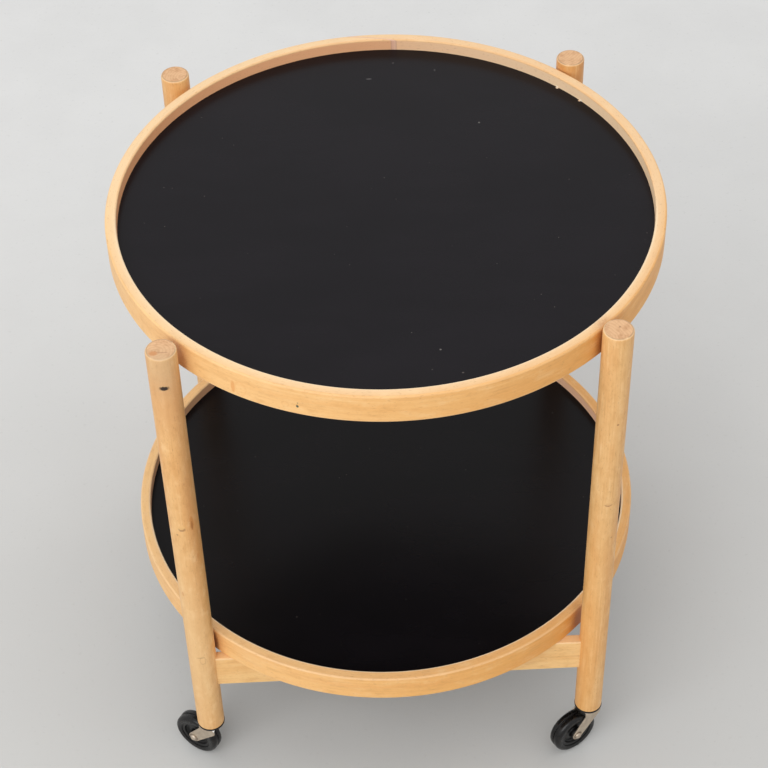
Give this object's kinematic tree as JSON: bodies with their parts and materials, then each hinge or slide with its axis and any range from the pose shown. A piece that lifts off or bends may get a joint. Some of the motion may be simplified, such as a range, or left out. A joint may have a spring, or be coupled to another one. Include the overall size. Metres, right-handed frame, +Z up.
{
  "type": "serving trolley",
  "caption": "Round two-tier serving trolley with loose black trays in bent wooden rims, held between round wooden posts on swivel casters.",
  "frame": {"origin": "on the floor, midway between the four posts", "axes": "+Z up, +X to the right and -Y towards the front, from which the lower front rail is seen"},
  "size_m": [0.609, 0.6, 0.6859],
  "materials": {
    "beech": "clear satin varnish",
    "core_board": "bare board",
    "black_laminate": "satin",
    "black_steel": "black, satin",
    "fork_steel": "worn zinc plate",
    "pin_steel": "bright steel",
    "tyre_rubber": "black, slightly worn",
    "wheel_plastic": "moulded black"
  },
  "bodies": {
    "frame": {"leg_front_left": "beech", "leg_front_right": "beech", "leg_rear_left": "beech", "leg_rear_right": "beech", "lower_rail_front": "beech", "lower_rail_rear": "beech", "upper_rail_left": "beech", "upper_rail_right": "beech", "caster_socket_front_left": "black_steel", "caster_socket_front_right": "black_steel", "caster_socket_rear_left": "black_steel", "caster_socket_rear_right": "black_steel"},
    "upper_tray": {"upper_tray_rim": "beech", "upper_tray_core": "core_board", "upper_tray_top_laminate": "black_laminate", "upper_tray_bottom_laminate": "black_laminate"},
    "lower_tray": {"lower_tray_rim": "beech", "lower_tray_core": "core_board", "lower_tray_top_laminate": "black_laminate", "lower_tray_bottom_laminate": "black_laminate"},
    "caster_front_left": {"caster_fork_front_left": "fork_steel", "caster_stem_front_left": "pin_steel", "caster_grip_ring_front_left": "pin_steel", "caster_thrust_washer_front_left": "pin_steel", "caster_axle_front_left": "pin_steel"},
    "wheel_front_left": {"wheel_tyre_front_left": "tyre_rubber", "wheel_core_front_left": "wheel_plastic", "wheel_bush_front_left": "pin_steel"},
    "caster_front_right": {"caster_fork_front_right": "fork_steel", "caster_stem_front_right": "pin_steel", "caster_grip_ring_front_right": "pin_steel", "caster_thrust_washer_front_right": "pin_steel", "caster_axle_front_right": "pin_steel"},
    "wheel_front_right": {"wheel_tyre_front_right": "tyre_rubber", "wheel_core_front_right": "wheel_plastic", "wheel_bush_front_right": "pin_steel"},
    "caster_rear_left": {"caster_fork_rear_left": "fork_steel", "caster_stem_rear_left": "pin_steel", "caster_grip_ring_rear_left": "pin_steel", "caster_thrust_washer_rear_left": "pin_steel", "caster_axle_rear_left": "pin_steel"},
    "wheel_rear_left": {"wheel_tyre_rear_left": "tyre_rubber", "wheel_core_rear_left": "wheel_plastic", "wheel_bush_rear_left": "pin_steel"},
    "caster_rear_right": {"caster_fork_rear_right": "fork_steel", "caster_stem_rear_right": "pin_steel", "caster_grip_ring_rear_right": "pin_steel", "caster_thrust_washer_rear_right": "pin_steel", "caster_axle_rear_right": "pin_steel"},
    "wheel_rear_right": {"wheel_tyre_rear_right": "tyre_rubber", "wheel_core_rear_right": "wheel_plastic", "wheel_bush_rear_right": "pin_steel"}
  },
  "joints": [
    {"name": "upper_tray_lift", "type": "slide", "parent": "frame", "child": "upper_tray", "axis": [0, 0, 1], "range_m": [0, 0.06]},
    {"name": "lower_tray_lift", "type": "slide", "parent": "frame", "child": "lower_tray", "axis": [0, 0, 1], "range_m": [0, 0.365]},
    {"name": "caster_swivel_front_left", "type": "hinge", "parent": "frame", "child": "caster_front_left", "pos_m": [-0.22698, -0.22698, 0.06795], "axis": [0, 0, 1], "continuous": true},
    {"name": "wheel_spin_front_left", "type": "hinge", "parent": "caster_front_left", "child": "wheel_front_left", "pos_m": [-0.24481, -0.21496, 0.029], "axis": [-0.5592, -0.829, 0], "continuous": true},
    {"name": "caster_swivel_front_right", "type": "hinge", "parent": "frame", "child": "caster_front_right", "pos_m": [0.22698, -0.22698, 0.06795], "axis": [0, 0, 1], "continuous": true},
    {"name": "wheel_spin_front_right", "type": "hinge", "parent": "caster_front_right", "child": "wheel_front_right", "pos_m": [0.20855, -0.23805, 0.029], "axis": [0.515, -0.8572, 0], "continuous": true},
    {"name": "caster_swivel_rear_left", "type": "hinge", "parent": "frame", "child": "caster_rear_left", "pos_m": [-0.22698, 0.22698, 0.06795], "axis": [0, 0, 1], "continuous": true},
    {"name": "wheel_spin_rear_left", "type": "hinge", "parent": "caster_rear_left", "child": "wheel_rear_left", "pos_m": [-0.24743, 0.23362, 0.029], "axis": [-0.309, -0.9511, 0], "continuous": true},
    {"name": "caster_swivel_rear_right", "type": "hinge", "parent": "frame", "child": "caster_rear_right", "pos_m": [0.22698, 0.22698, 0.06795], "axis": [0, 0, 1], "continuous": true},
    {"name": "wheel_spin_rear_right", "type": "hinge", "parent": "caster_rear_right", "child": "wheel_rear_right", "pos_m": [0.20631, 0.22106, 0.029], "axis": [0.2756, -0.9613, 0], "continuous": true}
  ]
}
